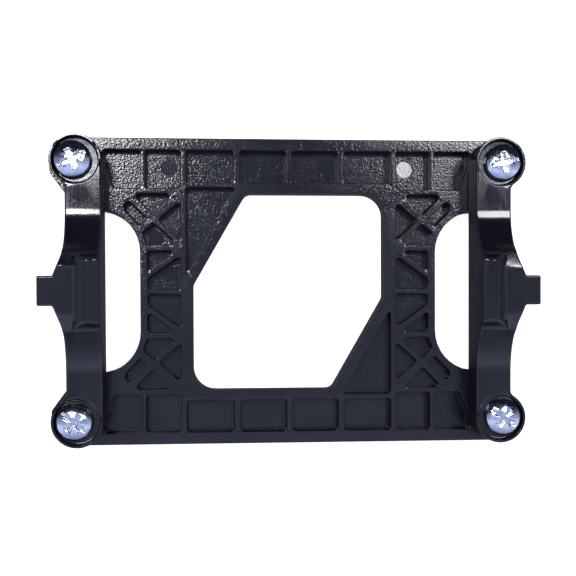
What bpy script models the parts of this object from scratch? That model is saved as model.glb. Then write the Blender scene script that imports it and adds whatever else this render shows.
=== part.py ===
"""Desktop processor-cooler mounting set: a ribbed backplate with four threaded inserts, two retention
brackets that carry the cooler's clip, and four pan-head screws.

The set lies flat on its backplate. X runs along the 90 mm hole spacing, Y along the 54 mm hole spacing
and +Z points from the backplate to the brackets. The origin is the middle of the backplate's underside.
"""

import math

import bmesh
import bpy

MM = 0.001
FIT_GAP = 0.3                 # clearance between touching pieces

# Hole pattern of the processor socket
HOLE_X = 45.0
HOLE_Y = 27.0

# Backplate
PLATE_THICK = 5.2
PLATE_HALF_Y = 32.7
LOBE_RADIUS = PLATE_HALF_Y - HOLE_Y
FLOOR_THICK = 1.8             # plate thickness left under a pocket
OPENING_X = 20.65
OPENING_Y = 21.1
OPENING_CORNER = 4.75
CHAMFER_END_Y = 1.4           # where the slanted corner meets the side of the opening
CHAMFER_SLOPE = math.tan(math.radians(30.0))
CHAMFER_RADIUS = 2.0
CUTOUT_X = 31.85
CUTOUT_Y = 17.35
CUTOUT_CORNER = 8.85
EAR_X = 47.3                  # the slanted ear between a lobe and a side cut-out
EAR_TOP_Y = 25.2
EAR_LOW_Y = 20.6
EAR_ROOT_X = 44.6
EAR_RADIUS = 1.5
POCKET_CORNER = 0.6
SIDE_SHARE = 0.45             # most of a pocket's side that one rounded corner takes up

# Threaded inserts
INSERT_RADIUS = 3.2
INSERT_HEX = 8.0              # across flats
INSERT_HEX_THICK = 1.2
INSERT_TOP = PLATE_THICK + 3.6
INSERT_BORE = 2.1
INSERT_OVERLAP = 0.5          # how far the round standoff reaches into the hexagonal foot

# Brackets
FOOT_Z = PLATE_THICK + FIT_GAP
BOSS_X = 44.4                 # bosses sit slightly inboard of the screws
BOSS_RADIUS = 5.35
BOSS_TOP = PLATE_THICK + 8.0
SEAT_Z = BOSS_TOP - 1.8
COUNTERBORE_RADIUS = 4.8
SCREW_BORE = 2.15
FOOT_RECESS_RADIUS = INSERT_RADIUS + 0.5
FOOT_RECESS_TOP = INSERT_TOP + 0.4
BAR_INNER_X = BOSS_X - BOSS_RADIUS
BAR_OUTER_X = 46.5
NECK_RADIUS = 1.5
FLARE_START_Y = 7.9
FLARE_RADIUS = 8.0
LUG_ROOT_X = 48.5
LUG_TIP_X = 51.6
LUG_HALF_WIDTH = 3.05
LUG_THICK = 3.0
LUG_TOP = PLATE_THICK + 12.6
LUG_FLAT_Y = 4.8
LUG_ROOT_RADIUS = 0.6
RISE_START_Y = 17.0
RISE_END_Y = 8.3
RISE_RADIUS = 11.5
RIDGE_TOP = PLATE_THICK + 14.3
RIDGE_INNER_TOP = RIDGE_TOP - 0.5
RIDGE_CREST_X = 41.4
RIDGE_SHOULDER_DROP = 0.1     # from the crest to the middle of the ridge's inner half
RIDGE_END_LIP = 0.5           # upright part at the foot of each ridge end
RIDGE_OUTER_X = 44.6
RIDGE_SINK = 0.15             # how far the ridge's outer side runs below the lug's top
RIDGE_FLAT_Y = 5.8
RIDGE_END_Y = 7.7
WALL = 1.6                    # bracket wall around the hollow underside
HOLLOW_END_Y = 19.5

# Screws, No. 6-32
HEAD_RADIUS = 3.9
HEAD_EDGE = 0.8               # straight side of the pan head
HEAD_HEIGHT = 2.3
HEAD_SEAT_Z = SEAT_Z + FIT_GAP
SHANK_RADIUS = 1.75
SHANK_LENGTH = 8.0
POINT_CHAMFER = 0.4
RECESS_WIDTH = 1.05
RECESS_LENGTH = 4.2
RECESS_DEPTH = 1.3
SLOT_WIDTH = 0.55
SLOT_LENGTH = 6.0
SLOT_DEPTH = 0.7
SCREW_SIDES = 28

ARC_STEP = 11.0               # degrees between the points of an arc
SMALL_ARC_STEP = 31.0         # the same for the small corners of the pockets
OVERCUT = 1.0                 # how far a cutter runs past the face it cuts

# Rib pockets of one quarter of the backplate; the other quarters mirror it
POCKET_ROWS = [
    [(0.6, 23.3), (10.6, 23.3), (10.6, 30.2), (0.6, 30.2)],
    [(11.9, 23.3), (22.1, 23.3), (22.1, 30.2), (11.9, 30.2)],
    [(23.2, 22.0), (30.7, 22.0), (30.7, 30.2), (23.2, 30.2)],
    [(31.6, 22.0), (37.4, 22.0), (39.6, 27.2), (39.6, 30.2), (31.6, 30.2)],
]
POCKET_TRUSS = [
    [(33.5, 20.95), (24.8, 20.95), (29.15, 16.5)],
    [(35.2, 18.7), (34.3, 19.5), (30.2, 15.5), (31.75, 14.0), (35.1, 17.4)],
    [(23.2, 19.5), (28.1, 15.35), (23.7, 11.4), (23.2, 11.4)],
    [(29.0, 14.7), (31.4, 12.6), (30.5, 10.05), (24.9, 10.05), (24.9, 11.1)],
    [(30.35, 8.75), (25.3, 8.75), (25.3, 8.0), (29.7, 4.75), (30.35, 4.75)],
    [(24.2, 7.2), (23.2, 7.2), (23.2, 0.55), (30.3, 0.55), (30.3, 2.8)],
]
GUSSET_POCKET = [(22.1, 22.3), (11.3, 22.3), (21.6, 4.6), (22.1, 4.6)]


def new_collection(name):
    """Add an empty collection to the scene."""
    collection = bpy.data.collections.new(name)
    bpy.context.scene.collection.children.link(collection)
    return collection


def make_material(name, color, roughness, metallic):
    """Make a plain surface for one sub-part."""
    material = bpy.data.materials.new(name)
    material.use_nodes = True
    shader = material.node_tree.nodes["Principled BSDF"]
    shader.inputs["Base Color"].default_value = (*color, 1.0)
    shader.inputs["Roughness"].default_value = roughness
    shader.inputs["Metallic"].default_value = metallic
    return material


def arc_points(center, radius, start, end, step=ARC_STEP):
    """Points along an arc, with angles in degrees; a negative sweep runs clockwise."""
    steps = max(2, math.ceil(abs(end - start) / step))
    angles = [math.radians(start + (end - start) * i / steps) for i in range(steps + 1)]
    return [(center[0] + radius * math.cos(a), center[1] + radius * math.sin(a)) for a in angles]


def rounded_outline(corners, step=ARC_STEP):
    """Turn corners (x, y, radius) into a closed outline whose corners are rounded."""
    points = []
    for i, (x, y, radius) in enumerate(corners):
        if radius == 0.0:
            points.append((x, y))
            continue
        before, after = corners[i - 1], corners[(i + 1) % len(corners)]
        angle_in = math.atan2(before[1] - y, before[0] - x)
        angle_out = math.atan2(after[1] - y, after[0] - x)
        opening = (angle_out - angle_in + math.pi) % (2 * math.pi) - math.pi
        middle = angle_in + opening / 2
        reach = radius / math.sin(abs(opening) / 2)
        center = (x + reach * math.cos(middle), y + reach * math.sin(middle))
        turn = math.degrees(math.pi - abs(opening)) / 2
        facing = math.degrees(middle) + 180.0
        side = 1.0 if opening < 0 else -1.0
        points += arc_points(center, radius, facing - side * turn, facing + side * turn, step)
    return points


def mirrored(corners, sign_x, sign_y):
    """Mirror corners or points into another quarter."""
    return [(sign_x * c[0], sign_y * c[1], *c[2:]) for c in corners]


def prism(name, outlines, low, high, collection):
    """Extrude closed outlines from low to high along local Z and return one welded mesh object."""
    curve = bpy.data.curves.new(name, "CURVE")
    curve.dimensions = "2D"
    curve.fill_mode = "BOTH"
    curve.extrude = (high - low) / 2 * MM
    for outline in outlines:
        spline = curve.splines.new("POLY")
        spline.points.add(len(outline) - 1)
        for point, (x, y) in zip(spline.points, outline):
            point.co = (x * MM, y * MM, 0.0, 1.0)
        spline.use_cyclic_u = True
    flat = bpy.data.objects.new(name, curve)
    collection.objects.link(flat)
    bpy.context.view_layer.update()
    graph = bpy.context.evaluated_depsgraph_get()
    mesh = bpy.data.meshes.new_from_object(flat.evaluated_get(graph))
    bpy.data.objects.remove(flat)
    bpy.data.curves.remove(curve)
    shell = bmesh.new()
    shell.from_mesh(mesh)
    bmesh.ops.remove_doubles(shell, verts=shell.verts, dist=0.000001)
    bmesh.ops.translate(shell, verts=shell.verts, vec=(0.0, 0.0, (low + high) / 2 * MM))
    bmesh.ops.recalc_face_normals(shell, faces=shell.faces)
    shell.to_mesh(mesh)
    shell.free()
    mesh.name = name
    solid = bpy.data.objects.new(name, mesh)
    collection.objects.link(solid)
    return solid


def cylinder(name, radius, low, high, place, collection, sides=32):
    """A closed upright cylinder or, with few sides, a regular prism."""
    mesh = bpy.data.meshes.new(name)
    shell = bmesh.new()
    bmesh.ops.create_cone(
        shell, cap_ends=True, segments=sides,
        radius1=radius * MM, radius2=radius * MM, depth=(high - low) * MM,
    )
    shell.to_mesh(mesh)
    shell.free()
    solid = bpy.data.objects.new(name, mesh)
    solid.location = (place[0] * MM, place[1] * MM, (low + high) / 2 * MM)
    collection.objects.link(solid)
    return solid


def box(name, low, high, collection):
    """A closed box between two corners."""
    mesh = bpy.data.meshes.new(name)
    shell = bmesh.new()
    bmesh.ops.create_cube(shell, size=1.0)
    size = [(b - a) * MM for a, b in zip(low, high)]
    bmesh.ops.scale(shell, verts=shell.verts, vec=size)
    shell.to_mesh(mesh)
    shell.free()
    solid = bpy.data.objects.new(name, mesh)
    solid.location = [(a + b) / 2 * MM for a, b in zip(low, high)]
    collection.objects.link(solid)
    return solid


def combine(solid, tool, operation):
    """Cut, join or intersect a solid with a tool that stays hidden."""
    modifier = solid.modifiers.new(tool.name, "BOOLEAN")
    modifier.operation = operation
    modifier.solver = "EXACT"
    modifier.object = tool
    tool.hide_render = True
    tool.hide_set(True)
    tool.display_type = "WIRE"


def move_origin(solid, origin):
    """Put a solid's origin at a point in millimetres without moving its surface."""
    offset = [c * MM for c in origin]
    for vertex in solid.data.vertices:
        vertex.co = [c - o for c, o in zip(vertex.co, offset)]
    solid.location = offset


def finish(solid, material):
    """Give a solid its material and smooth its round faces."""
    solid.data.materials.clear()
    solid.data.materials.append(material)
    solid.data.shade_smooth()
    solid.data.set_sharp_from_angle(angle=math.radians(30.0))


def plate_outline():
    """Outer edge of the backplate, with its two side cut-outs and four corner lobes."""
    quarter = [
        (HOLE_X + LOBE_RADIUS, PLATE_HALF_Y, LOBE_RADIUS),
        (HOLE_X + LOBE_RADIUS, EAR_TOP_Y, EAR_RADIUS),
        (EAR_X, EAR_LOW_Y, EAR_RADIUS),
        (EAR_ROOT_X, CUTOUT_Y, EAR_RADIUS),
        (CUTOUT_X, CUTOUT_Y, CUTOUT_CORNER),
    ]
    corners = quarter + mirrored(quarter, 1, -1)[::-1]
    corners += mirrored(quarter, -1, -1) + mirrored(quarter, -1, 1)[::-1]
    return rounded_outline(corners)


def opening_outline():
    """Central opening: two round corners and two corners cut off at 30 degrees."""
    chamfer_x = OPENING_X - CHAMFER_SLOPE * (OPENING_Y - CHAMFER_END_Y)
    half = [
        (OPENING_X, OPENING_Y, OPENING_CORNER),
        (OPENING_X, -CHAMFER_END_Y, CHAMFER_RADIUS),
        (chamfer_x, -OPENING_Y, CHAMFER_RADIUS),
    ]
    return rounded_outline(half + mirrored(half, -1, -1))


def rounded_pocket(points):
    """Round a pocket's corners, with less radius where its sides are too short for the full one."""
    corners = []
    for i, (x, y) in enumerate(points):
        before, after = points[i - 1], points[(i + 1) % len(points)]
        angle = math.atan2(after[1] - y, after[0] - x) - math.atan2(before[1] - y, before[0] - x)
        opening = abs((angle + math.pi) % (2 * math.pi) - math.pi)
        shortest = min(math.dist(before, (x, y)), math.dist((x, y), after))
        room = SIDE_SHARE * shortest * math.tan(opening / 2)
        corners.append((x, y, min(POCKET_CORNER, room)))
    return rounded_outline(corners, SMALL_ARC_STEP)


def pocket_outlines():
    """All rib pockets: four mirrored quarters, and one gusset beside each slanted corner."""
    outlines = []
    for sign_x in (1, -1):
        for sign_y in (1, -1):
            for pocket in POCKET_ROWS + POCKET_TRUSS:
                outlines.append(rounded_pocket(mirrored(pocket, sign_x, sign_y)))
    outlines.append(rounded_pocket(mirrored(GUSSET_POCKET, -1, 1)))
    outlines.append(rounded_pocket(mirrored(GUSSET_POCKET, 1, -1)))
    return outlines


def build_backplate(parts, cutters, material):
    """Ribbed plate with its opening, pockets and the four stepped insert holes."""
    plate = prism("backplate", [plate_outline(), opening_outline()], 0.0, PLATE_THICK, parts)
    pockets = prism(
        "backplate_pockets", pocket_outlines(), FLOOR_THICK, PLATE_THICK + OVERCUT, cutters
    )
    combine(plate, pockets, "DIFFERENCE")
    hex_corner = (INSERT_HEX / 2 + FIT_GAP) / math.cos(math.radians(30.0))
    hex_depth = INSERT_HEX_THICK + 2 * FIT_GAP
    for name, x, y in corner_places():
        hole = cylinder(
            f"hole_{name}", INSERT_RADIUS + FIT_GAP, -OVERCUT, PLATE_THICK + OVERCUT, (x, y), cutters
        )
        combine(plate, hole, "DIFFERENCE")
        pocket = cylinder(f"hex_{name}", hex_corner, -OVERCUT, hex_depth, (x, y), cutters, sides=6)
        combine(plate, pocket, "DIFFERENCE")
    finish(plate, material)


def corner_places():
    """Names and centres of the four screw positions."""
    return [
        ("rear_left", -HOLE_X, HOLE_Y),
        ("rear_right", HOLE_X, HOLE_Y),
        ("front_left", -HOLE_X, -HOLE_Y),
        ("front_right", HOLE_X, -HOLE_Y),
    ]


def build_insert(name, place, parts, cutters, material):
    """Steel insert: a hexagonal foot in the plate's underside and a round threaded standoff."""
    foot_corner = INSERT_HEX / 2 / math.cos(math.radians(30.0))
    foot_top = FIT_GAP + INSERT_HEX_THICK
    insert = cylinder(
        f"threaded_insert_{name}", foot_corner, FIT_GAP, foot_top, place, parts, sides=6
    )
    standoff = cylinder(
        f"standoff_{name}", INSERT_RADIUS, foot_top - INSERT_OVERLAP, INSERT_TOP, place, cutters
    )
    combine(insert, standoff, "UNION")
    bore = cylinder(f"thread_bore_{name}", INSERT_BORE, -OVERCUT, INSERT_TOP + OVERCUT, place, cutters)
    combine(insert, bore, "DIFFERENCE")
    finish(insert, material)


def bracket_plan():
    """Plan of the right-hand bracket: two round bosses, a straight bar and the lug in the middle."""
    neck_x = BAR_OUTER_X + NECK_RADIUS
    neck_drop = math.sqrt((BOSS_RADIUS + NECK_RADIUS) ** 2 - (neck_x - BOSS_X) ** 2)
    neck_angle = math.degrees(math.atan2(-neck_drop, neck_x - BOSS_X))
    boss = arc_points((BOSS_X, HOLE_Y), BOSS_RADIUS, 180.0, neck_angle)
    neck = arc_points((neck_x, HOLE_Y - neck_drop), NECK_RADIUS, neck_angle + 180.0, 180.0)
    lug = rounded_outline([
        (BAR_OUTER_X, FLARE_START_Y + FLARE_RADIUS, 0.0),
        (BAR_OUTER_X, FLARE_START_Y, FLARE_RADIUS),
        (LUG_ROOT_X, LUG_HALF_WIDTH, LUG_ROOT_RADIUS),
        (LUG_TIP_X, LUG_HALF_WIDTH, 0.0),
    ])
    half = boss + neck[1:] + lug[1:]
    return half + mirrored(half, 1, -1)[::-1]


def rise_height(y):
    """Height of the bar's top at a distance y from the middle, on its concave rise."""
    run = RISE_START_Y - y
    return BOSS_TOP + RISE_RADIUS - math.sqrt(RISE_RADIUS ** 2 - run ** 2)


def bar_profile(drop, end_y, foot):
    """Side outline (y, z) of the bar, lowered by drop, between -end_y and end_y."""
    steps = 7
    rise = [RISE_START_Y + (RISE_END_Y - RISE_START_Y) * i / steps for i in range(steps + 1)]
    half = [(end_y, foot), (end_y, BOSS_TOP - drop)]
    half += [(y, rise_height(y) - drop) for y in rise]
    half.append((LUG_FLAT_Y, LUG_TOP - drop))
    return half + mirrored(half, -1, 1)[::-1]


def ridge_section():
    """Cross-section (x, z) of the rounded ridge along the inner edge of the lug."""
    steps = 8
    foot = LUG_TOP - RIDGE_SINK
    outer = []
    for i in range(steps + 1):
        x = RIDGE_CREST_X + (RIDGE_OUTER_X - RIDGE_CREST_X) * i / steps
        outer.append((x, foot + (RIDGE_TOP - foot) * (1 + math.cos(math.pi * i / steps)) / 2))
    middle = ((BAR_INNER_X + RIDGE_CREST_X) / 2, RIDGE_TOP - RIDGE_SHOULDER_DROP)
    inner = [(BAR_INNER_X, BOSS_TOP), (BAR_INNER_X, RIDGE_INNER_TOP), middle]
    return inner + outer + [(RIDGE_OUTER_X, BOSS_TOP)]


def ridge_profile():
    """Side outline (y, z) of the ridge with its sloping ends."""
    half = [
        (RIDGE_END_Y, BOSS_TOP + RIDGE_END_LIP),
        (RIDGE_END_Y, rise_height(RISE_END_Y)),
        (RIDGE_FLAT_Y, RIDGE_TOP + OVERCUT),
    ]
    return half + mirrored(half, -1, 1)[::-1]


def stand_up(solid):
    """Turn a prism so that its outline lies in the Y-Z plane and its depth runs along X."""
    solid.rotation_euler = (math.pi / 2, 0.0, math.pi / 2)


def build_bracket(name, side, parts, cutters, material):
    """One retention bracket; side is 1 for the right-hand one and -1 for its mirror image."""
    def span(low_x, high_x):
        return sorted((side * low_x, side * high_x))

    plan = mirrored(bracket_plan(), side, 1)
    bracket = prism(name, [plan], FOOT_Z, RIDGE_TOP, parts)

    profile = bar_profile(0.0, HOLE_Y + BOSS_RADIUS + OVERCUT, FOOT_Z - OVERCUT)
    envelope = prism(
        f"{name}_profile", [profile], *span(BAR_INNER_X - OVERCUT, LUG_TIP_X + OVERCUT), cutters
    )
    stand_up(envelope)
    combine(bracket, envelope, "INTERSECT")

    section = mirrored(ridge_section(), side, 1)
    ridge = prism(f"{name}_ridge", [section], -RIDGE_END_Y - OVERCUT, RIDGE_END_Y + OVERCUT, cutters)
    ridge.rotation_euler = (math.pi / 2, 0.0, 0.0)
    ridge_ends = prism(
        f"{name}_ridge_ends", [ridge_profile()],
        *span(BAR_INNER_X - OVERCUT, RIDGE_OUTER_X + OVERCUT), cutters
    )
    stand_up(ridge_ends)
    combine(ridge, ridge_ends, "INTERSECT")
    combine(bracket, ridge, "UNION")

    clip_low, clip_high = span(LUG_ROOT_X, LUG_TIP_X + OVERCUT)
    clip_space = box(
        f"{name}_clip_space",
        (clip_low, -LUG_HALF_WIDTH - OVERCUT, FOOT_Z - OVERCUT),
        (clip_high, LUG_HALF_WIDTH + OVERCUT, LUG_TOP - LUG_THICK), cutters
    )
    combine(bracket, clip_space, "DIFFERENCE")

    hollow_profile = bar_profile(WALL, HOLLOW_END_Y, FOOT_Z - OVERCUT)
    hollow = prism(
        f"{name}_hollow", [hollow_profile], *span(BAR_INNER_X + WALL, BAR_OUTER_X - WALL), cutters
    )
    stand_up(hollow)
    combine(bracket, hollow, "DIFFERENCE")

    for end, y in (("rear", HOLE_Y), ("front", -HOLE_Y)):
        bores = (
            ("recess", FOOT_RECESS_RADIUS, FOOT_Z - OVERCUT, FOOT_RECESS_TOP, HOLE_X),
            ("bore", SCREW_BORE, FOOT_RECESS_TOP - OVERCUT, SEAT_Z + OVERCUT, HOLE_X),
            ("counterbore", COUNTERBORE_RADIUS, SEAT_Z, BOSS_TOP + OVERCUT, BOSS_X),
        )
        for kind, radius, low, high, x in bores:
            cutter = cylinder(f"{name}_{end}_{kind}", radius, low, high, (side * x, y), cutters)
            combine(bracket, cutter, "DIFFERENCE")
    move_origin(bracket, (side * BOSS_X, 0.0, FOOT_Z))
    finish(bracket, material)


def screw_profile():
    """Half-section (radius, height) of a screw from the top of its head down to its point."""
    steps = 5
    dome = []
    for i in range(steps + 1):
        angle = math.pi / 2 * i / steps
        height = HEAD_EDGE + (HEAD_HEIGHT - HEAD_EDGE) * math.cos(angle)
        dome.append((HEAD_RADIUS * math.sin(angle), height))
    return dome + [
        (HEAD_RADIUS, 0.0),
        (SHANK_RADIUS, 0.0),
        (SHANK_RADIUS, POINT_CHAMFER - SHANK_LENGTH),
        (SHANK_RADIUS - POINT_CHAMFER, -SHANK_LENGTH),
        (0.0, -SHANK_LENGTH),
    ]


def build_screw(name, place, parts, cutters, material):
    """Pan-head screw with a cross recess and a shallow slot; its origin is under the head."""
    profile = screw_profile()
    mesh = bpy.data.meshes.new(name)
    edge = bmesh.new()
    verts = [edge.verts.new((radius * MM, 0.0, height * MM)) for radius, height in profile]
    for first, second in zip(verts, verts[1:]):
        edge.edges.new((first, second))
    edge.to_mesh(mesh)
    edge.free()
    screw = bpy.data.objects.new(name, mesh)
    screw.location = (place[0] * MM, place[1] * MM, HEAD_SEAT_Z * MM)
    parts.objects.link(screw)
    turned = screw.modifiers.new("turned", "SCREW")
    turned.steps = SCREW_SIDES
    turned.render_steps = SCREW_SIDES
    turned.use_merge_vertices = True
    turned.merge_threshold = 0.00001
    head_top = HEAD_SEAT_Z + HEAD_HEIGHT
    cuts = (
        ("recess_x", RECESS_LENGTH, RECESS_WIDTH, RECESS_DEPTH),
        ("recess_y", RECESS_WIDTH, RECESS_LENGTH, RECESS_DEPTH),
        ("slot", SLOT_LENGTH, SLOT_WIDTH, SLOT_DEPTH),
    )
    for kind, length, width, depth in cuts:
        low = (place[0] - length / 2, place[1] - width / 2, head_top - depth)
        high = (place[0] + length / 2, place[1] + width / 2, head_top + OVERCUT)
        combine(screw, box(f"{name}_{kind}", low, high, cutters), "DIFFERENCE")
    finish(screw, material)


def main():
    for old in list(bpy.data.objects):
        bpy.data.objects.remove(old)
    parts = new_collection("cpu_cooler_mounting_set")
    cutters = new_collection("cutters")
    build_backplate(parts, cutters, make_material("backplate_plastic", (0.012, 0.012, 0.016), 0.45, 0.0))
    for side, name in ((-1, "bracket_left"), (1, "bracket_right")):
        plastic = make_material(f"{name}_plastic", (0.014, 0.014, 0.019), 0.32, 0.0)
        build_bracket(name, side, parts, cutters, plastic)
    for name, x, y in corner_places():
        steel = make_material(f"insert_{name}_steel", (0.55, 0.55, 0.56), 0.35, 1.0)
        build_insert(name, (x, y), parts, cutters, steel)
        zinc = make_material(f"screw_{name}_zinc", (0.72, 0.74, 0.78), 0.25, 1.0)
        build_screw(f"screw_{name}", (x, y), parts, cutters, zinc)


main()
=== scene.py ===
"""Looks for the desktop processor-cooler mounting set: moulded plastic, zinc-plated screws, soft light.

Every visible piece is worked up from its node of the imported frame: moulded edges are rounded, ejector
marks are sunk into the plastic, the screws and inserts get their threads, and each piece gets a
procedural material. Lengths are in millimetres and are turned into metres by MM where they are used.
"""

import math

import bmesh
import bpy
from mathutils import Matrix, Vector


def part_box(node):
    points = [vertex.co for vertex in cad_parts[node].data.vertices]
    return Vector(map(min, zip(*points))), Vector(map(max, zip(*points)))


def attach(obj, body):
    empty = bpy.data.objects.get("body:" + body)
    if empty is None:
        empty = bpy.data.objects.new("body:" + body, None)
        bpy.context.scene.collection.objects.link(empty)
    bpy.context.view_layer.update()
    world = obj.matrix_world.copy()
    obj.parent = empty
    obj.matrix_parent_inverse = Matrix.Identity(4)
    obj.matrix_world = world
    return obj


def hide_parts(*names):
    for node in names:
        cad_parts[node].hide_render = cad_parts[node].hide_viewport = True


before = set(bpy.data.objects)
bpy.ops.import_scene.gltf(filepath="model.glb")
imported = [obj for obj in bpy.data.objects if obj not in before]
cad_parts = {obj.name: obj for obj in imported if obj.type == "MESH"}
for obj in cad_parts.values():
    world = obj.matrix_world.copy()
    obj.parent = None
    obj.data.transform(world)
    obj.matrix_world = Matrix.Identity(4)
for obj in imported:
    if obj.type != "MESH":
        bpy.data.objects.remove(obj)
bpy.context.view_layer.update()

MM = 0.001
scene = bpy.context.scene

SHARP_TURN = 38.0             # degrees: edges that turn more than this are rounded
CREASE_TURN = 5.0             # the same for the named creases
FLAT_TURN = 0.4               # degrees: faces that turn less than this are merged
SMOOTH_TURN = 50.0            # degrees: edges that turn less than this are shaded smooth
WELD_DISTANCE = 0.002
ON_CREASE = 0.01              # how near a crease the ends of its edges lie

# What a face is, by its material index while a piece is made
FACE_KINDS = ("plain", "worn_edge", "mark")

# Width and number of steps of each piece's rounded edges
PLATE_ROUNDING = (0.2, 3)
BRACKET_ROUNDING = (0.4, 4)
SCREW_ROUNDING = (0.1, 3)
INSERT_ROUNDING = (0.15, 3)

# Heights worked out from the frame
FLOOR_THICK = 1.8
BOSS_HEIGHT = 8.0
plate_low, plate_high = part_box("backplate")
FLOOR_Z = plate_low.z / MM + FLOOR_THICK          # floor of the rib pockets
BOSS_TOP = plate_high.z / MM + BOSS_HEIGHT        # flat top of the bracket bosses


# ---------------------------------------------------------------- meshes

def link(name, mesh):
    """Add an object with a mesh to the scene."""
    made = bpy.data.objects.new(name, mesh)
    scene.collection.objects.link(made)
    return made


def link_shell(name, shell):
    """Turn a bmesh into an object, and free it."""
    mesh = bpy.data.meshes.new(name)
    shell.to_mesh(mesh)
    shell.free()
    return link(name, mesh)


def baked(piece, name):
    """Apply every modifier of a piece and return the result as a new object."""
    bpy.context.view_layer.update()
    graph = bpy.context.evaluated_depsgraph_get()
    mesh = bpy.data.meshes.new_from_object(piece.evaluated_get(graph))
    mesh.name = name
    bpy.data.objects.remove(piece)
    return link(name, mesh)


def copy_solid(node, creases=()):
    """A welded copy of a CAD node's surface whose flat faces are merged into convex ones.

    Edges to be rounded get a bevel weight: every edge that turns sharply, and the gentle creases that
    run across the piece at the given distances from its middle, in millimetres along Y.
    """
    shell = bmesh.new()
    shell.from_mesh(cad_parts[node].data)
    bmesh.ops.remove_doubles(shell, verts=shell.verts, dist=WELD_DISTANCE * MM)
    bmesh.ops.dissolve_limit(
        shell, angle_limit=math.radians(FLAT_TURN), verts=shell.verts, edges=shell.edges
    )
    bmesh.ops.connect_verts_concave(shell, faces=shell.faces)
    bmesh.ops.recalc_face_normals(shell, faces=shell.faces)
    weight = shell.edges.layers.float.new("bevel_weight_edge")
    for edge in shell.edges:
        turn = math.degrees(edge.calc_face_angle(0.0))
        across = any(
            all(abs(abs(v.co.y) / MM - crease) < ON_CREASE for v in edge.verts)
            for crease in creases
        )
        edge[weight] = float(turn > SHARP_TURN or (across and turn > CREASE_TURN))
    return link_shell(f"{node}_blank", shell)


def add_kinds(mesh):
    """Give a mesh an empty material slot for each kind of face."""
    for _ in FACE_KINDS:
        mesh.materials.append(None)


def round_edges(piece, width, segments):
    """Round a piece's weighted edges, over a width in millimetres and in a number of steps."""
    add_kinds(piece.data)
    bevel = piece.modifiers.new("rounded_edges", "BEVEL")
    bevel.width = width * MM
    bevel.segments = segments
    bevel.limit_method = "WEIGHT"
    bevel.use_clamp_overlap = False
    bevel.loop_slide = False
    bevel.material = FACE_KINDS.index("worn_edge")


CUTTER_HEIGHT = 0.6
CUTTER_SIDES = 40


def disc_cutter(name, place, radius, depth, tilt):
    """A short cylinder that sinks a round mark into a flat face at a place (x, y, z).

    The tilt is two turns in degrees, about X and about Y.
    """
    shell = bmesh.new()
    bmesh.ops.create_cone(
        shell, cap_ends=True, segments=CUTTER_SIDES,
        radius1=radius * MM, radius2=radius * MM, depth=CUTTER_HEIGHT * MM,
    )
    cutter = link_shell(name, shell)
    add_kinds(cutter.data)
    for polygon in cutter.data.polygons:
        polygon.material_index = FACE_KINDS.index("mark")
    x, y, z = place
    cutter.location = (x * MM, y * MM, (z - depth + CUTTER_HEIGHT / 2) * MM)
    cutter.rotation_euler = [math.radians(a) for a in (*tilt, 0.0)]
    return cutter


def sink(piece, cutters):
    """Cut marks into a piece with Boolean modifiers."""
    for cutter in cutters:
        cut = piece.modifiers.new(cutter.name, "BOOLEAN")
        cut.operation = "DIFFERENCE"
        cut.solver = "EXACT"
        cut.material_mode = "INDEX"
        cut.object = cutter


WEIGHT_BY_SIZE = 100          # the largest faces decide the shading normals


def finish_mesh(piece, material):
    """Note the rounded and marked faces in attributes, then smooth the mesh and set its material."""
    mesh = piece.data
    kinds = [polygon.material_index for polygon in mesh.polygons]
    for index, name in enumerate(FACE_KINDS[1:], start=1):
        attribute = mesh.attributes.new(name, "FLOAT", "FACE")
        attribute.data.foreach_set("value", [float(kind == index) for kind in kinds])
    mesh.materials.clear()
    mesh.materials.append(material)
    for polygon in mesh.polygons:
        polygon.material_index = 0
    mesh.shade_smooth()
    mesh.set_sharp_from_angle(angle=math.radians(SMOOTH_TURN))
    weighted = piece.modifiers.new("flat_faces", "WEIGHTED_NORMAL")
    weighted.keep_sharp = True
    weighted.weight = WEIGHT_BY_SIZE


def place_piece(piece, body, node):
    """Make a finished piece ride on its body in place of its CAD node."""
    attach(piece, body)
    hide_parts(node)


# ---------------------------------------------------------------- materials

FULL = (0.0, 1.0)
FALLING = (1.0, 0.0)
NOISE_CORE = (0.35, 0.65)     # the part of a noise's range where most of it lies
NOISE_BODY = (0.3, 0.7)       # nearly all of it
WALL_NORMAL = (0.12, 0.45)    # up-and-down part of the normal, from a side wall to a level face


def color_socket(sockets, name):
    """A Mix node's colour socket, among the sockets of that name for other types."""
    return [s for s in sockets if s.name == name and s.type == "RGBA"][0]


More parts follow.
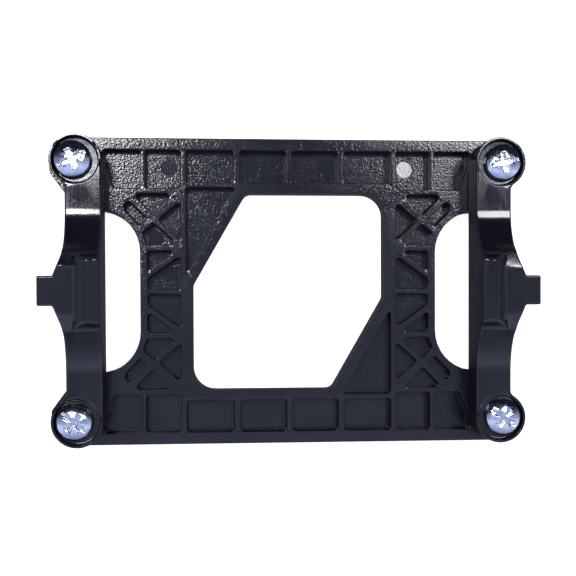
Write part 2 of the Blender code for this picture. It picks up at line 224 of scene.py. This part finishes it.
class Surface:
    """A Principled material with short ways to wire procedural detail into it.

    Its plain colour and roughness are what shows where nodes aren't read.
    """

    def __init__(self, name, color, roughness, metallic):
        self.material = bpy.data.materials.new(name)
        self.material.use_nodes = True
        self.tree = self.material.node_tree
        self.shader = self.tree.nodes["Principled BSDF"]
        self.shader.inputs["Base Color"].default_value = (*color, 1.0)
        self.shader.inputs["Roughness"].default_value = roughness
        self.shader.inputs["Metallic"].default_value = metallic
        places = self.tree.nodes.new("ShaderNodeTexCoord")
        self.coordinates = places.outputs["Object"]
        self.facing = places.outputs["Normal"]
        self.normal = None

    def wire(self, source, socket):
        self.tree.links.new(source, socket)

    def stretched(self, stretch):
        """Object coordinates in metres, stretched along each axis."""
        node = self.tree.nodes.new("ShaderNodeMapping")
        node.inputs["Scale"].default_value = stretch
        self.wire(self.coordinates, node.inputs["Vector"])
        return node.outputs["Vector"]

    def noise(self, size, detail=2.0, stretch=(1.0, 1.0, 1.0)):
        """Soft noise from 0 to 1 with grains of a size in millimetres."""
        node = self.tree.nodes.new("ShaderNodeTexNoise")
        node.inputs["Scale"].default_value = 1.0 / (size * MM)
        node.inputs["Detail"].default_value = detail
        self.wire(self.stretched(stretch), node.inputs["Vector"])
        return node.outputs["Fac"]

    def cells(self, size):
        """Distance to the middle of random cells of a size in millimetres."""
        node = self.tree.nodes.new("ShaderNodeTexVoronoi")
        node.feature = "SMOOTH_F1"
        node.inputs["Scale"].default_value = 1.0 / (size * MM)
        self.wire(self.coordinates, node.inputs["Vector"])
        return node.outputs["Distance"]

    def height(self):
        """Height above the floor, in metres."""
        node = self.tree.nodes.new("ShaderNodeSeparateXYZ")
        self.wire(self.coordinates, node.inputs["Vector"])
        return node.outputs["Z"]

    def upright(self):
        """From 0 on level faces to 1 on side walls, from the surface normal."""
        node = self.tree.nodes.new("ShaderNodeSeparateXYZ")
        self.wire(self.facing, node.inputs["Vector"])
        return self.spread(self.maths("ABSOLUTE", node.outputs["Z"]), WALL_NORMAL, FALLING)

    def attribute(self, name):
        node = self.tree.nodes.new("ShaderNodeAttribute")
        node.attribute_name = name
        return node.outputs["Fac"]

    def spread(self, value, source, target):
        """Map a value from one range to another, clamped."""
        node = self.tree.nodes.new("ShaderNodeMapRange")
        node.inputs["From Min"].default_value, node.inputs["From Max"].default_value = source
        node.inputs["To Min"].default_value, node.inputs["To Max"].default_value = target
        self.wire(value, node.inputs["Value"])
        return node.outputs["Result"]

    def maths(self, operation, *values):
        """Work out one Math operation on numbers and node outputs."""
        node = self.tree.nodes.new("ShaderNodeMath")
        node.operation = operation
        for socket, value in zip(node.inputs, values):
            if isinstance(value, float):
                socket.default_value = value
            else:
                self.wire(value, socket)
        return node.outputs["Value"]

    def blend(self, factor, first, second):
        """Mix two colours, each a triple or the output of another blend."""
        node = self.tree.nodes.new("ShaderNodeMix")
        node.data_type = "RGBA"
        self.wire(factor, node.inputs["Factor"])
        for name, color in (("A", first), ("B", second)):
            socket = color_socket(node.inputs, name)
            if isinstance(color, tuple):
                socket.default_value = (*color, 1.0)
            else:
                self.wire(color, socket)
        return color_socket(node.outputs, "Result")

    def bump(self, height, depth):
        """Raise the surface by a height map whose full range is a depth in millimetres."""
        node = self.tree.nodes.new("ShaderNodeBump")
        node.inputs["Distance"].default_value = depth * MM
        self.wire(height, node.inputs["Height"])
        if self.normal is not None:
            self.wire(self.normal, node.inputs["Normal"])
        self.normal = node.outputs["Normal"]
        self.wire(self.normal, self.shader.inputs["Normal"])

    def color(self, source):
        self.wire(source, self.shader.inputs["Base Color"])

    def roughness(self, source):
        self.wire(source, self.shader.inputs["Roughness"])

    def sheen(self, source):
        """Strength of the mirror reflection: 0.5 is that of plain plastic."""
        self.wire(source, self.shader.inputs["Specular IOR Level"])


def plate_plastic():
    """Near-black plastic from a spark-eroded mould: sparkling grain, and tool lines in the pockets."""
    skin = Surface("backplate_plastic", (0.006, 0.0065, 0.009), 0.3, 0.0)
    worn = skin.attribute("worn_edge")
    mark = skin.attribute("mark")
    grain = skin.noise(0.36, 1.0)
    pits = skin.cells(0.5)
    cloud = skin.noise(9.0, 2.0)
    streaks = skin.noise(2.4, 3.0, (0.12, 5.0, 1.0))
    just_above = ((FLOOR_Z - 0.3) * MM, (FLOOR_Z + 0.15) * MM)
    on_floor = skin.spread(skin.height(), just_above, FALLING)
    tint = skin.blend(skin.spread(cloud, NOISE_CORE, FULL),
                      (0.0045, 0.0048, 0.0066), (0.0085, 0.009, 0.013))
    tint = skin.blend(worn, tint, (0.014, 0.0145, 0.019))
    dust = skin.spread(skin.noise(0.7, 4.0), (0.72, 0.78), (0.0, 0.35))
    skin.color(skin.blend(dust, tint, (0.05, 0.05, 0.055)))
    gloss = skin.spread(skin.noise(0.5, 3.0), NOISE_BODY, (0.1, 0.15))
    wall = skin.upright()
    dull = skin.maths("MAXIMUM", skin.maths("MULTIPLY", worn, 0.85), wall)
    skin.roughness(skin.maths("ADD", gloss, skin.maths("MULTIPLY", dull, 0.25)))
    skin.sheen(skin.spread(dull, FULL, (0.5, 0.12)))
    skin.bump(cloud, 0.04)
    skin.bump(skin.maths("MULTIPLY", streaks, on_floor), 0.01)
    smooth = skin.maths("MAXIMUM", skin.maths("MULTIPLY", mark, 0.7), wall)
    calm = skin.maths("SUBTRACT", 1.0, smooth)
    skin.bump(skin.maths("MULTIPLY", grain, calm), 0.034)
    skin.bump(skin.maths("MULTIPLY", pits, calm), 0.015)
    return skin.material


def bracket_plastic():
    """Smoother near-black plastic with slight moulding flow and hairline scratches."""
    skin = Surface("bracket_plastic", (0.005, 0.0055, 0.008), 0.2, 0.0)
    worn = skin.attribute("worn_edge")
    flow = skin.noise(7.0, 3.0, (1.0, 0.35, 1.0))
    ripple = skin.noise(0.8, 2.0)
    fine = skin.noise(0.22, 2.0)
    scratches = skin.noise(1.6, 5.0, (6.0, 0.25, 1.0))
    tint = skin.blend(skin.spread(flow, NOISE_CORE, FULL),
                      (0.0042, 0.0045, 0.0062), (0.0075, 0.008, 0.0115))
    tint = skin.blend(worn, tint, (0.012, 0.0125, 0.017))
    dust = skin.spread(skin.noise(0.8, 4.0), (0.74, 0.8), (0.0, 0.3))
    skin.color(skin.blend(dust, tint, (0.05, 0.05, 0.055)))
    gloss = skin.spread(scratches, NOISE_BODY, (0.075, 0.125))
    wall = skin.upright()
    skin.roughness(skin.maths("ADD", gloss, skin.maths("MULTIPLY", wall, 0.3)))
    skin.sheen(skin.spread(wall, FULL, (0.5, 0.1)))
    skin.bump(flow, 0.03)
    skin.bump(ripple, 0.004)
    skin.bump(fine, 0.0012)
    skin.bump(scratches, 0.002)
    return skin.material


def zinc_plate():
    """Bright zinc plating over a cold-headed screw: small dents and a bluish cast."""
    skin = Surface("screw_zinc", (0.74, 0.79, 0.88), 0.14, 1.0)
    worn = skin.attribute("worn_edge")
    patches = skin.noise(1.1, 4.0)
    tint = skin.blend(skin.spread(patches, NOISE_CORE, FULL),
                      (0.44, 0.51, 0.64), (0.62, 0.67, 0.76))
    skin.color(skin.blend(worn, tint, (0.72, 0.76, 0.83)))
    skin.roughness(skin.spread(skin.noise(0.5, 4.0), NOISE_BODY, (0.08, 0.26)))
    skin.bump(skin.noise(1.9, 2.0), 0.10)
    skin.bump(skin.noise(0.45, 3.0), 0.014)
    return skin.material


def insert_steel():
    """Turned steel with fine tool rings and a dull, slightly oiled surface."""
    skin = Surface("insert_steel", (0.42, 0.42, 0.43), 0.32, 1.0)
    rings = skin.noise(2.0, 3.0, (0.3, 0.3, 14.0))
    film = skin.noise(1.4, 4.0)
    skin.color(skin.blend(skin.spread(film, NOISE_CORE, FULL),
                          (0.34, 0.335, 0.33), (0.5, 0.5, 0.51)))
    skin.roughness(skin.spread(film, NOISE_BODY, (0.24, 0.42)))
    skin.bump(rings, 0.02)
    skin.bump(skin.noise(0.3, 2.0), 0.004)
    return skin.material


# ---------------------------------------------------------------- threads

THREAD_PITCH = 0.79
THREAD_SIDES = 40
THREAD_FLANK = (0.46, 0.42, 0.07)     # base, root and tip, as shares of the pitch from the middle
THREAD_SINK = 0.12                    # how far the ridge's base runs into its cylinder
THREAD_RUNOUT = 0.05                  # share of the ridge's height that is left at its ends


def thread_ridge(name, center, root, crest, low, high):
    """A helical ridge between two heights, as one closed shell that fades out at both ends."""
    shell = bmesh.new()
    at_base, at_root, at_tip = THREAD_FLANK
    turns = (high - low) / THREAD_PITCH - 1.0
    steps = int(turns * THREAD_SIDES)
    outward = 1.0 if crest > root else -1.0
    sections = []
    for i in range(steps + 1):
        angle = 2.0 * math.pi * i / THREAD_SIDES
        z = low + THREAD_PITCH * (0.5 + i / THREAD_SIDES)
        fade = min(1.0, i / (THREAD_SIDES / 2), (steps - i) / (THREAD_SIDES / 2))
        tip = root + (crest - root) * (THREAD_RUNOUT + (1.0 - THREAD_RUNOUT) * fade)
        base = root - outward * THREAD_SINK
        outline = [
            (base, -at_base), (root, -at_root), (tip, -at_tip),
            (tip, at_tip), (root, at_root), (base, at_base),
        ]
        sections.append([
            shell.verts.new((
                (center[0] + radius * math.cos(angle)) * MM,
                (center[1] + radius * math.sin(angle)) * MM,
                (z + share * THREAD_PITCH) * MM,
            ))
            for radius, share in outline
        ])
    for before, after in zip(sections, sections[1:]):
        for k in range(len(before)):
            n = (k + 1) % len(before)
            shell.faces.new((before[k], before[n], after[n], after[k]))
    shell.faces.new(sections[0])
    shell.faces.new(sections[-1])
    bmesh.ops.recalc_face_normals(shell, faces=shell.faces)
    return link_shell(name, shell)


def add_shell(piece, other):
    """Put another closed shell into a piece's mesh."""
    shell = bmesh.new()
    shell.from_mesh(piece.data)
    shell.from_mesh(other.data)
    shell.to_mesh(piece.data)
    shell.free()
    bpy.data.objects.remove(other)


# ---------------------------------------------------------------- backplate

PIN_RADIUS = 1.75
PIN_DEPTH = 0.14
PIN_MARKS = [                     # x, y and the tilt of the pin's face about X and Y, in degrees
    (-25.65, 26.75, 0.4, 0.0),
    (25.65, 26.75, -2.5, 2.2),
    (-8.15, 27.25, 1.0, 0.0),
    (8.15, 27.25, 1.0, 0.0),
    (-28.6, 11.5, 0.6, 0.0),
    (-25.6, 3.9, 0.6, 0.0),
    (-25.6, -4.5, 0.6, 0.0),
]

blank = copy_solid("backplate")
round_edges(blank, *PLATE_ROUNDING)
pins = [
    disc_cutter(f"pin_{i}", (x, y, FLOOR_Z), PIN_RADIUS, PIN_DEPTH, (tilt_x, tilt_y))
    for i, (x, y, tilt_x, tilt_y) in enumerate(PIN_MARKS)
]
sink(blank, pins)
plate = baked(blank, "ribbed_backplate")
for pin in pins:
    bpy.data.objects.remove(pin)
finish_mesh(plate, plate_plastic())
place_piece(plate, "base", "backplate")

# ---------------------------------------------------------------- brackets

LUG_FLAT_Y = 4.8                  # where the lug's flat top meets its slopes
GATE_RADIUS = 1.6
GATE_DEPTH = 0.05
# x, y and the tilt of the mark about X and Y, in degrees
GATE_MARKS = {"left": (-43.2, 19.8, 0.5, 0.6), "right": (42.4, 19.8, 0.5, -0.6)}

satin = bracket_plastic()
for side, (x, y, tilt_x, tilt_y) in GATE_MARKS.items():
    blank = copy_solid(f"bracket_{side}", creases=(LUG_FLAT_Y,))
    round_edges(blank, *BRACKET_ROUNDING)
    gate = disc_cutter(
        f"gate_{side}", (x, y, BOSS_TOP), GATE_RADIUS, GATE_DEPTH, (tilt_x, tilt_y)
    )
    sink(blank, [gate])
    bracket = baked(blank, f"retention_bracket_{side}")
    bpy.data.objects.remove(gate)
    finish_mesh(bracket, satin)
    place_piece(bracket, f"{side}_bracket", f"bracket_{side}")

# ---------------------------------------------------------------- screws and inserts

SHANK_LENGTH = 8.0
SHANK_ROOT = 1.35
SHANK_CREST = 1.75
SHANK_REACH = 1.8             # every point nearer the screw's middle belongs to the shank
UNDER_SEAT = 0.1              # how far below the head the thinner shank starts
BORE_RADIUS = 2.1
BORE_CREST = 1.82
# The turn of each screw's recess, in degrees
SCREW_TURNS = {"rear_left": 28.0, "rear_right": 12.0, "front_left": -42.0, "front_right": -38.0}

zinc = zinc_plate()
steel = insert_steel()
for corner, turn in SCREW_TURNS.items():
    low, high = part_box(f"screw_{corner}")
    center = ((low.x + high.x) / 2 / MM, (low.y + high.y) / 2 / MM)
    seat = low.z / MM + SHANK_LENGTH
    blank = copy_solid(f"screw_{corner}")
    middle = Vector((center[0] * MM, center[1] * MM, 0.0))
    spin = Matrix.Rotation(math.radians(turn), 4, "Z")
    blank.data.transform(Matrix.Translation(middle) @ spin @ Matrix.Translation(-middle))
    for vertex in blank.data.vertices:
        x = vertex.co.x / MM - center[0]
        y = vertex.co.y / MM - center[1]
        if math.hypot(x, y) < SHANK_REACH and vertex.co.z / MM < seat - UNDER_SEAT:
            vertex.co.x = (center[0] + x * SHANK_ROOT / SHANK_CREST) * MM
            vertex.co.y = (center[1] + y * SHANK_ROOT / SHANK_CREST) * MM
    round_edges(blank, *SCREW_ROUNDING)
    screw = baked(blank, f"pan_head_screw_{corner}")
    add_shell(screw, thread_ridge(
        f"thread_{corner}", center, SHANK_ROOT, SHANK_CREST, low.z / MM, seat
    ))
    finish_mesh(screw, zinc)
    place_piece(screw, f"{corner}_screw", f"screw_{corner}")

    low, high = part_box(f"threaded_insert_{corner}")
    blank = copy_solid(f"threaded_insert_{corner}")
    round_edges(blank, *INSERT_ROUNDING)
    insert = baked(blank, f"standoff_insert_{corner}")
    add_shell(insert, thread_ridge(
        f"bore_thread_{corner}", center, BORE_RADIUS, BORE_CREST, low.z / MM, high.z / MM
    ))
    finish_mesh(insert, steel)
    place_piece(insert, "base", f"threaded_insert_{corner}")

# ---------------------------------------------------------------- camera

camera_data = bpy.data.cameras.new("camera")
camera_data.sensor_width = 36.0
camera_data.lens = 66.51
camera_data.shift_x = -0.03
camera_data.shift_y = 0.08
camera_data.clip_start = 5.0 * MM
camera = bpy.data.objects.new("camera", camera_data)
camera.location = Vector((-15.44, -3.90, 234.2)) * MM
camera.rotation_euler = [math.radians(a) for a in (-1.31, -4.71, -0.21)]
scene.collection.objects.link(camera)
scene.camera = camera
scene.view_settings.view_transform = "Standard"


# ---------------------------------------------------------------- light

LIGHT_HEIGHT = 0.9                # metres


def softbox(name, x_angles, y_angles, radiance, color):
    """An overhead softbox that spans ranges of angles from the vertical, in degrees."""
    xs = [LIGHT_HEIGHT * math.tan(math.radians(a)) for a in x_angles]
    ys = [LIGHT_HEIGHT * math.tan(math.radians(a)) for a in y_angles]
    data = bpy.data.lights.new(name, "AREA")
    data.shape = "RECTANGLE"
    data.size = xs[1] - xs[0]
    data.size_y = ys[1] - ys[0]
    data.energy = radiance * math.pi * data.size * data.size_y
    data.color = color
    lamp = bpy.data.objects.new(name, data)
    lamp.location = (sum(xs) / 2, sum(ys) / 2, LIGHT_HEIGHT)
    scene.collection.objects.link(lamp)


softbox("softbox_left", (-25.0, -8.0), (10.0, 18.0), 40.0, (0.93, 0.94, 1.0))
softbox("softbox_right", (14.0, 28.0), (10.5, 22.0), 22.0, (0.94, 0.94, 1.0))

SKY_STOPS = [                     # toward the front (-1) or the rear (1), and the brightness there
    (-1.0, 0.4), (-0.6, 1.0), (-0.32, 1.5), (-0.1, 0.72), (0.1, 0.47), (0.28, 0.12), (0.45, 0.015),
]
SKY_TINT = (0.66, 0.72, 1.0)
GROUND_COLOR = (0.2, 0.2, 0.22)
HORIZON_HALF = 0.05               # half of the soft step between the ground and the sky

world = bpy.data.worlds.new("studio")
scene.world = world
world.use_nodes = True
tree = world.node_tree
direction = tree.nodes.new("ShaderNodeSeparateXYZ")
tree.links.new(
    tree.nodes.new("ShaderNodeTexCoord").outputs["Generated"], direction.inputs["Vector"]
)
toward_rear = tree.nodes.new("ShaderNodeMapRange")
toward_rear.inputs["From Min"].default_value = -1.0
tree.links.new(direction.outputs["Y"], toward_rear.inputs["Value"])
sky = tree.nodes.new("ShaderNodeValToRGB")
ramp = sky.color_ramp
while len(ramp.elements) < len(SKY_STOPS):
    ramp.elements.new(0.5)
for element, (toward, level) in zip(ramp.elements, SKY_STOPS):
    element.position = (toward + 1.0) / 2.0
    element.color = (*(part * level for part in SKY_TINT), 1.0)
tree.links.new(toward_rear.outputs["Result"], sky.inputs["Fac"])
above = tree.nodes.new("ShaderNodeMapRange")
above.inputs["From Min"].default_value = -HORIZON_HALF
above.inputs["From Max"].default_value = HORIZON_HALF
tree.links.new(direction.outputs["Z"], above.inputs["Value"])
mix = tree.nodes.new("ShaderNodeMix")
mix.data_type = "RGBA"
color_socket(mix.inputs, "A").default_value = (*GROUND_COLOR, 1.0)
tree.links.new(above.outputs["Result"], mix.inputs["Factor"])
tree.links.new(sky.outputs["Color"], color_socket(mix.inputs, "B"))
tree.links.new(color_socket(mix.outputs, "Result"), tree.nodes["Background"].inputs["Color"])

# ---------------------------------------------------------------- floor

FLOOR_HALF_WIDTH = 3.0            # metres
FLOOR_GAP = 0.05                  # below the object

shell = bmesh.new()
bmesh.ops.create_grid(shell, x_segments=1, y_segments=1, size=FLOOR_HALF_WIDTH)
floor = link_shell("floor", shell)
floor.location.z = -FLOOR_GAP * MM
floor.visible_glossy = False
pale = Surface("pale_floor", (0.9, 0.9, 0.9), 0.8, 0.0)
pale.shader.inputs["Emission Color"].default_value = (1.0, 1.0, 1.0, 1.0)
pale.shader.inputs["Emission Strength"].default_value = 0.8
pale.roughness(pale.spread(pale.noise(40.0), NOISE_BODY, (0.75, 0.85)))
floor.data.materials.append(pale.material)
